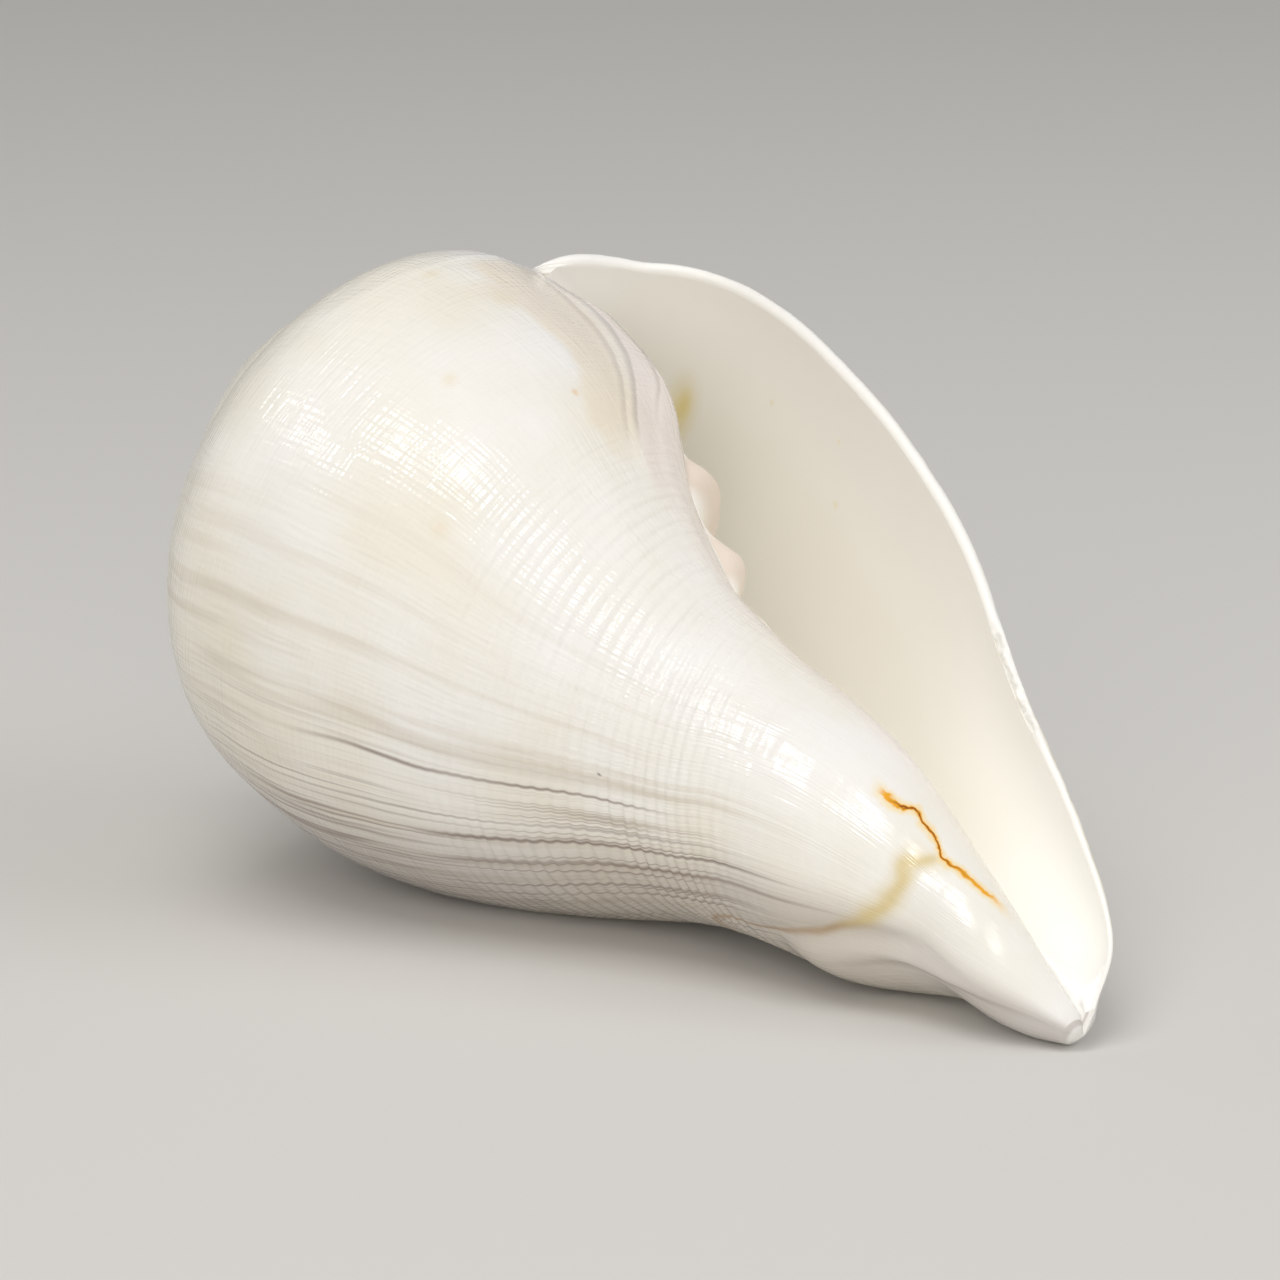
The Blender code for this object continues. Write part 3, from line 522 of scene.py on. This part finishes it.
def growthTree(inputs, material):
    tree = bpy.data.node_groups.new("grow shell", "GeometryNodeTree")
    add = partial(addNode, tree)
    tree.interface.new_socket("Geometry", in_out="INPUT", socket_type="NodeSocketGeometry")
    tree.interface.new_socket("Geometry", in_out="OUTPUT", socket_type="NodeSocketGeometry")
    for name, value in inputs.items():
        kind = "NodeSocketVector" if isinstance(value, tuple) else "NodeSocketFloat"
        tree.interface.new_socket(name, in_out="INPUT", socket_type=kind)
    given = add("NodeGroupInput").node.outputs
    named = {}
    for name in ("turn", "place", "girth", "outside", "rim", "raised", "inner", "lipPoint",
                 "columellaPoint"):
        kind = "FLOAT_VECTOR" if name.endswith("Point") else "FLOAT"
        named[name] = add("GeometryNodeInputNamedAttribute", name, data_type=kind)
    turn, t = named["turn"], named["place"]

    # chips in the lip's edge move it back a little before it is placed; fewer at the tip
    chip = add("ShaderNodeCombineXYZ", t,
               add(mathNode, named["rim"], 0.02, **multiply), given["Seed"])
    chip = add("ShaderNodeTexNoise", chip,
               inputs={"Scale": 110.0, "Detail": 4.0, "Roughness": 0.65})
    chip = add(rangeNode, chip, 0.4, 0.62, 0.25, 1.0)
    zone = add(mathNode, add(rangeNode, t, 0.683, 0.697, 0.0, 1.0, **smooth),
               add(rangeNode, t, 0.772, 0.757, 0.0, 1.0, **smooth), **multiply)
    zone = add(mathNode, zone, add(rangeNode, t, 0.95, 0.97, 0.0, 0.15, **smooth),
               operation="MAXIMUM")
    for factor in (zone, named["rim"]):
        chip = add(mathNode, chip, factor, **multiply)

    # logarithmic growth between the two ends of the last turn
    share = add(mathNode, add(mathNode, turn, 1.0, operation="MINIMUM"), 0.0, operation="MAXIMUM")
    rest = add(mathNode, 1.0, share, **minus)
    older = add(mathNode, add(mathNode, 1.0, turn, **minus), 0.0, operation="MINIMUM")
    shrink = add(mathNode, given["Whorl ratio"], older, operation="POWER")
    lip = add("ShaderNodeSeparateXYZ", named["lipPoint"]).node.outputs
    columella = add("ShaderNodeSeparateXYZ", named["columellaPoint"]).node.outputs
    grown = []
    for axis in (0, 1):
        both = add(mathNode, add(mathNode, lip[axis], rest, operation="POWER"),
                   add(mathNode, columella[axis], share, operation="POWER"), **multiply)
        grown.append(add(mathNode, both, shrink, **multiply))
    radius, depth = grown
    wave = add(mathNode, add(mathNode, share, math.pi, **multiply), operation="SINE")
    wave = add(mathNode, add(mathNode, wave, 2.0, operation="POWER"), named["girth"], **multiply)
    radius = add(mathNode, add(mathNode, wave, 1.0, **plus), radius, **multiply)
    circumference = add(mathNode, add(mathNode, radius, 3.0, operation="MAXIMUM"),
                        2 * math.pi, **multiply)
    chipTurn = add(mathNode, add(mathNode, chip, given["Chip depth"], **multiply),
                   circumference, operation="DIVIDE")
    azimuth = add(mathNode, add(mathNode, turn, chipTurn, **plus), 2 * math.pi, **multiply)
    azimuth = add(mathNode, azimuth, given["Up azimuth"], **minus)
    side = add(mathNode, radius, add(mathNode, azimuth, operation="SINE"), **multiply)
    up = add(mathNode, radius, add(mathNode, azimuth, operation="COSINE"), **multiply)
    tilted = add("ShaderNodeVectorRotate", rotation_type="Y_AXIS",
                 inputs={"Vector": add("ShaderNodeCombineXYZ", depth, side, up),
                         "Angle": given["Axis tilt"]})
    placed = add("ShaderNodeVectorMath", tilted, given["Apex place"], **plus)
    grownShell = add("GeometryNodeSetPosition", given["Geometry"], None, placed)

    # cords: evenly spaced ridges that run with the coil, wander a little and differ in height
    uneven = []
    for alongTurn, alongPlace in ((9.0, 60.0), (7.0, 45.0)):
        at = add("ShaderNodeCombineXYZ", add(mathNode, turn, alongTurn, **multiply),
                 add(mathNode, t, alongPlace, **multiply), given["Seed"])
        uneven.append(add("ShaderNodeTexNoise", at, inputs={"Scale": 1.0, "Detail": 3.0}))
    wander = add(mathNode, add(mathNode, uneven[0], 0.5, **minus), given["Cord wander"], **multiply)
    along = add(rangeNode, t, given["Cord start"], given["Cord end"], 0.0,
                given["Cord count"], clamp=False)
    phase = add(mathNode, add(mathNode, along, wander, **plus), 2 * math.pi, **multiply)
    groove = add(rangeNode, add(mathNode, phase, operation="COSINE"), -1.0, 1.0, 0.0, 1.0)
    groove = add(mathNode, groove, 1.6, operation="POWER")
    ridge = add(rangeNode, groove, 0.0, 1.0, 1.0, -1.0)
    cordTop = add(mathNode, given["Cord start"], given["Cord rise"], **plus)
    cordFoot = add(mathNode, given["Cord end"], given["Cord fall"], **minus)
    smoothedFrom = add(rangeNode, t, 0.66, 0.76, 0.95, 0.8)
    for factor in (add(rangeNode, uneven[1], 0.3, 0.7, 0.35, 1.2),
                   add(rangeNode, t, given["Cord start"], cordTop, 0.0, 1.0, **smooth),
                   add(rangeNode, t, given["Cord end"], cordFoot, 0.0, 1.0, **smooth),
                   add(rangeNode, turn, 0.03, 0.09, 0.0, 1.0, **smooth),
                   add(rangeNode, turn, 1.0, smoothedFrom, 0.0, 1.0, **smooth),
                   given["Cord height"]):
        ridge = add(mathNode, ridge, factor, **multiply)

    # growth lines drawn out along each former lip, and shallow dents from hand grinding
    bend = add("ShaderNodeFloatCurve", None, t)
    fillCurve(bend, shell["growthLineShape"], -0.1, 0.2)
    bend = add(rangeNode, bend, 0.0, 1.0, -0.1, 0.2)
    line = add(mathNode, turn, bend, **minus)
    at = add("ShaderNodeCombineXYZ", add(mathNode, line, 70.0, **multiply),
             add(mathNode, t, 4.0, **multiply), given["Seed"])
    lines = add("ShaderNodeTexNoise", at, inputs={"Scale": 1.0, "Detail": 3.0})
    dents = add("ShaderNodeTexNoise", add("GeometryNodeInputPosition"),
                inputs={"Scale": 0.22, "Detail": 2.0})
    fine = ridge
    for noise, height in ((lines, given["Growth line height"]), (dents, given["Hammered height"])):
        noise = add(rangeNode, noise, 0.0, 1.0, -1.0, 1.0)
        fine = add(mathNode, fine, add(mathNode, noise, height, **multiply), **plus)
    for start, end in ((0.0, 0.02), (1.0, 0.98)):
        fine = add(mathNode, fine, add(rangeNode, t, start, end, 0.0, 1.0), **multiply)
    total = add(mathNode, add(mathNode, fine, named["raised"], **plus),
                named["outside"], **multiply)
    pushed = add("ShaderNodeVectorMath", add("GeometryNodeInputNormal"),
                 operation="SCALE", inputs={"Scale": total})
    grownShell = add("GeometryNodeSetPosition", grownShell, None, None, pushed)

    # what the material reads: turn, place and growth line, which part of the shell it is on, and
    # its soft patches, with the breaks in the growth lines and their wobble
    marks = add("ShaderNodeCombineXYZ", turn, t, line)
    soft = [add("ShaderNodeTexNoise", add("GeometryNodeInputPosition"),
                inputs={"Scale": 0.038, "Detail": 4.0})]
    for alongLine, alongPlace in ((37.5, 5.0), (0.0, 8.0)):
        at = add("ShaderNodeCombineXYZ", add(mathNode, line, alongLine, **multiply),
                 add(mathNode, t, alongPlace, **multiply), 0.0)
        soft.append(add("ShaderNodeTexNoise", at, inputs={"Scale": 1.0, "Detail": 1.0}))
    weather = add("ShaderNodeCombineXYZ", *soft)
    outsideRim = add(mathNode, named["outside"], named["inner"], **minus)
    zones = add("ShaderNodeCombineXYZ", outsideRim, named["rim"], chip)
    for name, value in (("growth", marks), ("zones", zones), ("weather", weather)):
        grownShell = add("GeometryNodeStoreNamedAttribute", grownShell, None, name, value,
                         data_type="FLOAT_VECTOR", domain="POINT")
    grownShell = add("GeometryNodeTransform", grownShell, inputs={"Scale": (millimetre,) * 3})
    grownShell = add("GeometryNodeRealizeInstances", grownShell)
    grownShell = add("GeometryNodeSetMaterial", grownShell, None, material)
    add("NodeGroupOutput", grownShell)
    return tree


def bakeModifiers(obj):
    view = bpy.context.evaluated_depsgraph_get()
    plain = bpy.data.meshes.new_from_object(obj.evaluated_get(view), preserve_all_data_layers=True,
                                            depsgraph=view)
    obj.modifiers.clear()
    obj.data = plain


def growFromChart(obj, material):
    inputs = {
        "Whorl ratio": shell["whorlRatio"], "Up azimuth": math.radians(shell["upAzimuth"]),
        "Axis tilt": math.radians(shell["axisTilt"]), "Apex place": shell["apexPlace"],
        "Cord start": shell["cordStart"], "Cord end": shell["cordEnd"],
        "Cord count": float(shell["cordCount"]), "Cord height": shell["cordHeight"],
        "Cord wander": shell["cordWander"], "Cord rise": shell["cordRise"],
        "Cord fall": shell["cordFall"], "Growth line height": shell["growthLineHeight"],
        "Hammered height": shell["hammeredHeight"], "Chip depth": shell["chipDepth"],
        "Seed": shell["seed"],
    }
    tree = growthTree(inputs, material)
    modifier = obj.modifiers.new("grow", "NODES")
    modifier.node_group = tree
    for item in tree.interface.items_tree:
        if item.in_out == "INPUT" and item.name in inputs:
            modifier[item.identifier] = inputs[item.name]
    bakeModifiers(obj)
    bm = bmesh.new()
    bm.from_mesh(obj.data)
    bmesh.ops.recalc_face_normals(bm, faces=bm.faces[:])
    bm.to_mesh(obj.data)
    bm.free()


def inShellAxes(radius, depth, azimuth):
    tilt = math.radians(shell["axisTilt"])
    up, side = radius * math.cos(azimuth), radius * math.sin(azimuth)
    apex = shell["apexPlace"]
    return ((up * math.sin(tilt) + depth * math.cos(tilt) + apex[0]) * millimetre,
            (side + apex[1]) * millimetre,
            (up * math.cos(tilt) - depth * math.sin(tilt) + apex[2]) * millimetre)


def grindAndBore(obj, material):
    # The apex is ground flat and bored through; the edges are broken by hand, so they are rounded
    mouth, ground = shell["boreMouthRadius"], shell["grindDepth"]
    foot = ground + shell["boreDepth"]
    wide, above = shell["toolRadius"], -shell["toolAbove"]
    profile = [(0, above), (wide, above), (wide, ground), (mouth + 0.9, ground),
               (mouth + 0.35, ground + 0.22), (mouth, ground + 0.8), (shell["boreEndRadius"], foot),
               (0, foot)]
    sides = shell["boreSides"]
    bm = bmesh.new()
    rings = []
    for radius, depth in profile:
        count = sides if radius else 1
        rings.append([bm.verts.new(inShellAxes(radius, depth, 2 * math.pi * k / sides))
                      for k in range(count)])
    for a, b in zip(rings, rings[1:]):
        for k in range(sides):
            n = (k + 1) % sides
            corners = [a[k % len(a)], a[n % len(a)], b[n % len(b)], b[k % len(b)]]
            bm.faces.new(list(dict.fromkeys(corners)))
    bmesh.ops.recalc_face_normals(bm, faces=bm.faces[:])
    mesh = bpy.data.meshes.new("apex tool")
    bm.to_mesh(mesh)
    bm.free()
    mesh.materials.append(material)
    tool = bpy.data.objects.new("apexTool", mesh)
    bpy.context.scene.collection.objects.link(tool)
    cut = obj.modifiers.new("cut", "BOOLEAN")
    cut.operation = "DIFFERENCE"
    cut.solver = "EXACT"
    cut.object = tool
    bakeModifiers(obj)
    bpy.data.objects.remove(tool, do_unlink=True)


def restOnBelly(obj):
    # The belly is worn flat on the floor plane, and nothing passes the solid's box
    points = np.empty(len(obj.data.vertices) * 3, np.float32)
    obj.data.vertices.foreach_get("co", points)
    points = np.clip(points.reshape(-1, 3).astype(float), np.array(cadLow), np.array(cadHigh))
    obj.data.vertices.foreach_set("co", points.astype(np.float32).ravel())
    obj.data.update()


def paint(tree, colour, layers, fields):
    # Lays colours over one another; each shows where all its fields are near their full value,
    # and a field given without values is a share already
    add = partial(addNode, tree)
    for name, strength, limits in layers:
        amount = None
        for field, *ends in limits:
            shown = fields[field]
            if ends:
                top = strength if amount is None else 1.0
                shown = add(rangeNode, shown, *ends, 0.0, top, **smooth)
            amount = shown if amount is None else add(mathNode, shown, amount, **multiply)
        colour = add("ShaderNodeMix", amount, colour, linear(shell["colours"][name]),
                     data_type="RGBA")
    return colour


def shellFields(tree):
    # Everything the layers of colour and the gloss are steered by
    add = partial(addNode, tree)
    fields = {}
    for attribute, names in (("growth", ("turn", "place", "line")),
                             ("zones", ("zone", "rim", "chip")),
                             ("weather", ("clouds", "breaks", "wobble"))):
        value = add("ShaderNodeAttribute", attribute_name=attribute, out="Vector")
        sockets = add("ShaderNodeSeparateXYZ", value).node.outputs
        fields.update(zip(names, sockets))
    turn, t, line = fields["turn"], fields["place"], fields["line"]
    fields["outside"] = add(mathNode, fields["zone"], 0.0, operation="MAXIMUM")
    fields["inner"] = add(mathNode, fields["zone"], -1.0, **multiply)
    spot = add("ShaderNodeTexCoord", out="Object")

    # millimetres along the growth and along the section
    grain = add("ShaderNodeCombineXYZ", add(mathNode, line, growthSpan, **multiply),
                add(mathNode, t, sectionSpan, **multiply), 0.0)
    fields["grain"] = grain
    fields["laid"] = add("ShaderNodeCombineXYZ", add(mathNode, turn, growthSpan, **multiply),
                         add(mathNode, t, sectionSpan, **multiply), 0.0)
    for name, stretch, detail in (("streaks", (0.35, 0.012, 1.0), 2.0),
                                  ("threads", (1.2, 0.02, 1.0), 1.0)):
        at = add("ShaderNodeMapping", grain, inputs={"Scale": stretch})
        fields[name] = add("ShaderNodeTexNoise", at, inputs={"Scale": 1.0, "Detail": detail})
    for name, base, noise, reach in (("bent", line, "wobble", 0.004),
                                     ("strayed", turn, "clouds", 0.06),
                                     ("deep", turn, "clouds", 0.04)):
        off = add(rangeNode, fields[noise], 0.0, 1.0, -reach, reach)
        fields[name] = add(mathNode, base, off, **plus)

    # shares that several layers use: unbroken runs of a growth line, and the callus's stretch
    fields["broken"] = add(rangeNode, fields["breaks"], 0.38, 0.6, 0.0, 1.0, **smooth)
    fields["onCallus"] = add(mathNode, add(rangeNode, t, 0.24, 0.3, 0.0, 1.0, **smooth),
                             add(rangeNode, t, 0.62, 0.56, 0.0, 1.0, **smooth), **multiply)

    # distance from drawn paths, which the curves hold as shares of a range
    paths = [("offBand", t, turn, shell["bandPath"], 0.0, 1.0, 0.7, 1.0, 190.0, 0.006),
             ("offCrack", turn, t, shell["crackPath"], 0.9, 0.97, 0.8, 0.95, 1100.0, 0.007)]
    paths += [(f"callusEdge{k}", turn, t, edge, 0.0, 1.0, 0.85, 1.0, 0.0, 0.0)
              for k, edge in enumerate(shell["callusEdges"])]
    for name, value, along, path, start, end, low, high, jagScale, jag in paths:
        at = add(rangeNode, along, start, end, 0.0, 1.0)
        curve = add("ShaderNodeFloatCurve", None, at)
        fillCurve(curve, [((x - start) / (end - start), y) for x, y in path], low, high)
        off = add(mathNode, value, add(rangeNode, curve, 0.0, 1.0, low, high), **minus)
        if jag:
            noise = add("ShaderNodeTexNoise", spot, inputs={"Scale": jagScale, "Detail": 1.0})
            noise = add(rangeNode, noise, 0.0, 1.0, -jag, jag)
            off = add(mathNode, add(mathNode, off, noise, **plus), operation="ABSOLUTE")
        fields[name] = off
    away = 1.0
    for crest in shell["foldPlaces"]:
        here = add(mathNode, add(mathNode, t, crest, **minus), operation="ABSOLUTE")
        away = add(mathNode, here, away, operation="MINIMUM")
    fields["foldAway"] = away
    return fields


def shellMaterial():
    # Aragonite, ground and polished by hand: milky white with a thin waxy gloss, which a weave of
    # growth lines and spiral threads breaks into sparks
    material = bpy.data.materials.new("polished aragonite shell")
    material.use_nodes = True
    material.cycles.emission_sampling = "NONE"    # the glow is too weak to need rays of its own
    tree = material.node_tree
    add = partial(addNode, tree)
    surface = tree.nodes["Principled BSDF"]
    fields = shellFields(tree)

    # spots by their distance in millimetres
    spots = {"outside": [], "mouth": []}
    for side, rows in (("outside", shell["spots"]), ("mouth", shell["mouthSpots"])):
        for turn, t, radius, name, strength in rows:
            key = f"spot {turn} {t}"
            at = (turn * growthSpan, t * sectionSpan, 0.0)
            fields[key] = add("ShaderNodeVectorMath", fields["laid"], at,
                              operation="DISTANCE", out="Value")
            spots[side].append((name, strength, [(key, radius, 0.0)]))
    marks = [(name, strength, [("bent", at - width, at), ("bent", at + width, at),
                               ("broken",), ("place", first, first + 0.1),
                               ("place", last, last - 0.08)])
             for at, width, name, strength, first, last in shell["growthMarks"]]
    layers = shell["outsideLayers"]
    outside = paint(tree, linear(shell["colours"]["milk"]),
                    layers[:2] + marks + layers[2:] + spots["outside"], fields)
    mouth = paint(tree, linear(shell["colours"]["mouthWhite"]),
                  shell["insideLayers"] + spots["mouth"], fields)
    colour = add("ShaderNodeMix", fields["outside"], mouth, outside, data_type="RGBA")
    colour = paint(tree, colour, shell["edgeLayers"], fields)

    # waxy outside, satin inside, dull where the edge is broken
    roughness = add(rangeNode, fields["outside"], 0.0, 1.0, shell["roughInside"],
                    shell["roughOutside"])
    for field, share in (("clouds", 0.08), ("rim", 0.1), ("chip", 0.35)):
        more = add(mathNode, fields[field], share, **multiply)
        roughness = add(mathNode, roughness, more, **plus)

    # a weave of fine grooves along the growth and round the coil, about 0.7 mm apart: drawn coarser
    # than the real 0.3 mm ones, it breaks a reflection into sparks
    weave = 0.0
    for stretch in ((1.5, 0.15, 1.0), (0.15, 1.5, 1.0)):
        at = add("ShaderNodeMapping", fields["grain"], inputs={"Scale": stretch})
        noise = add("ShaderNodeTexNoise", at, inputs={"Scale": 1.0, "Detail": 0.0})
        weave = add(mathNode, noise, weave, **plus)
    fade = add(rangeNode, fields["place"], 0.78, 0.95, 1.0, 0.35)
    fade = add(mathNode, fade, fields["outside"], **multiply)
    relief = add("ShaderNodeBump", inputs={"Strength": fade, "Height": weave,
                                           "Distance": shell["bumpDistance"]})
    tree.links.new(relief, surface.inputs["Normal"])
    tree.links.new(colour, surface.inputs["Base Color"])
    tree.links.new(roughness, surface.inputs["Roughness"])
    # painted light: the mouth's inside glows by emission, standing in for daylight let through the
    # thin lip
    within = add(mathNode, 1.0, fields["outside"], **minus)
    glow = add(rangeNode, fields["turn"], 1.2, 0.3, 0.0, shell["glow"], **smooth)
    glow = add(mathNode, glow, add(rangeNode, fields["place"], 0.1, 0.75, 0.1, 1.0), **multiply)
    tree.links.new(add(mathNode, glow, within, **multiply), surface.inputs["Emission Strength"])
    surface.inputs["Emission Color"].default_value = linear(shell["glowColour"])
    surface.inputs["IOR"].default_value = 1.53
    return material


def makeShell():
    rows = np.concatenate([
        np.linspace(0.0, sutureT, shell["shoulderRows"]),
        np.linspace(sutureT, shell["cordStart"], shell["frontRows"])[1:],
        np.linspace(shell["cordStart"], shell["cordEnd"],
                    shell["rowsPerCord"] * shell["cordCount"] + 1)[1:],
        np.linspace(shell["cordEnd"], 1.0, shell["tipRows"])[1:]])
    chart = Chart()
    body, seatAt = chartOutside(chart, rows)
    chartSpire(chart, body, rows, seatAt)
    rimInside = chartRim(chart, body, rows)
    chartCavity(chart, body, rows, rimInside, seatAt)
    material = shellMaterial()
    obj = meshFromChart("shell", chart)
    print("chart made:", len(obj.data.polygons), "faces")
    growFromChart(obj, material)
    print("shell grown")
    grindAndBore(obj, material)
    restOnBelly(obj)
    obj.data.shade_smooth()
    obj.data.set_sharp_from_angle(angle=math.radians(shell["sharpAngle"]))
    print("apex ground and bored:", len(obj.data.polygons), "faces")
    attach(obj, "root")
    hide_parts("conch_shell")


floor = {"radius": 1.5, "rimRadius": 2.4, "rimHeight": 0.3, "sides": 96, "colour": "#dedcd8"}


def makeFloor():
    # A plain pale floor whose far edge curves up a little into the pale studio
    material = bpy.data.materials.new("pale matt floor")
    material.use_nodes = True
    tree = material.node_tree
    matt = addNode(tree, "ShaderNodeBsdfDiffuse", linear(floor["colour"]))
    tree.links.new(matt, tree.nodes["Material Output"].inputs["Surface"])
    profile = [(floor["radius"] * k / 6, 0.0) for k in range(1, 7)]
    for k in range(1, 13):
        angle = math.pi / 2 * k / 12
        profile.append((floor["radius"] + (floor["rimRadius"] - floor["radius"]) * math.sin(angle),
                        floor["rimHeight"] * (1 - math.cos(angle))))
    sides = floor["sides"]
    bm = bmesh.new()
    centre = bm.verts.new((0, 0, 0))
    rings = [[bm.verts.new((radius * math.cos(2 * math.pi * k / sides),
                            radius * math.sin(2 * math.pi * k / sides), height))
              for k in range(sides)] for radius, height in profile]
    for k in range(sides):
        n = (k + 1) % sides
        bm.faces.new((centre, rings[0][k], rings[0][n]))
        for a, b in zip(rings, rings[1:]):
            bm.faces.new((a[k], b[k], b[n], a[n]))
    mesh = bpy.data.meshes.new("floor")
    bm.to_mesh(mesh)
    bm.free()
    mesh.materials.append(material)
    mesh.shade_smooth()
    obj = bpy.data.objects.new("floor", mesh)
    bpy.context.scene.collection.objects.link(obj)


lights = {
    # name: (place, size, power, colour), aimed at the shell
    "softBox": ((0.05, -0.36, 1.15), 0.7, 4.4, "#fffdfa"),
    "mouthPanel": ((0.65, -0.9, 0.42), 0.9, 5.0, "#fffcf8"),
    "fillPanel": ((0.9, 0.5, 0.7), 0.8, 3.0, "#f6f7ff"),
    # window panes that only show as reflections
    "paneLeft": ((-0.28, -0.64, 0.73), 0.1, 0.7, "#ffffff"),
    "paneMiddle": ((0.1, -0.48, 0.92), 0.14, 1.3, "#ffffff"),
    "paneRight": ((0.46, -0.3, 0.85), 0.14, 1.3, "#ffffff"),
    "worldColour": "#f5f5f5", "worldStrength": 0.44,
}


def makeLights():
    target = Vector((0, 0, 0.035))
    for name, values in lights.items():
        if not isinstance(values, tuple):
            continue
        place, size, power, colour = values
        lamp = bpy.data.lights.new(name, "AREA")
        lamp.shape = "SQUARE"
        lamp.size = size
        lamp.energy = power
        lamp.color = linear(colour)[:3]
        obj = bpy.data.objects.new(name, lamp)
        obj.location = place
        obj.rotation_euler = (Vector(place) - target).to_track_quat("Z", "Y").to_euler()
        if name.startswith("pane"):
            obj.visible_diffuse = obj.visible_transmission = False
        else:
            obj.visible_glossy = False
        bpy.context.scene.collection.objects.link(obj)
    world = bpy.data.worlds.new("studio")
    world.use_nodes = True
    background = world.node_tree.nodes["Background"]
    background.inputs["Color"].default_value = linear(lights["worldColour"])
    background.inputs["Strength"].default_value = lights["worldStrength"]
    bpy.context.scene.world = world
    bpy.context.scene.view_settings.view_transform = "Standard"


# The photo's view
camera = {"place": (0.3899, -0.3943, 0.1762), "azimuth": 45.01, "elevation": 14.34, "roll": -0.43,
          "lens": 134.44, "sensor": 36.0}


def makeCamera():
    azimuth, elevation, roll = (math.radians(camera[k]) for k in ("azimuth", "elevation", "roll"))
    back = Vector((math.sin(azimuth) * math.cos(elevation),
                   -math.cos(azimuth) * math.cos(elevation), math.sin(elevation)))
    right = Vector((math.cos(azimuth), math.sin(azimuth), 0.0))
    up = back.cross(right)
    right, up = (right * math.cos(roll) + up * math.sin(roll),
                 up * math.cos(roll) - right * math.sin(roll))
    lens = bpy.data.cameras.new("photo view")
    lens.lens, lens.sensor_width = camera["lens"], camera["sensor"]
    lens.clip_start, lens.clip_end = 0.01, 20.0
    obj = bpy.data.objects.new("camera", lens)
    obj.matrix_world = Matrix((right, up, back)).transposed().to_4x4()
    obj.location = camera["place"]
    bpy.context.scene.collection.objects.link(obj)
    bpy.context.scene.camera = obj


makeShell()
makeFloor()
makeLights()
makeCamera()
print("stage set")
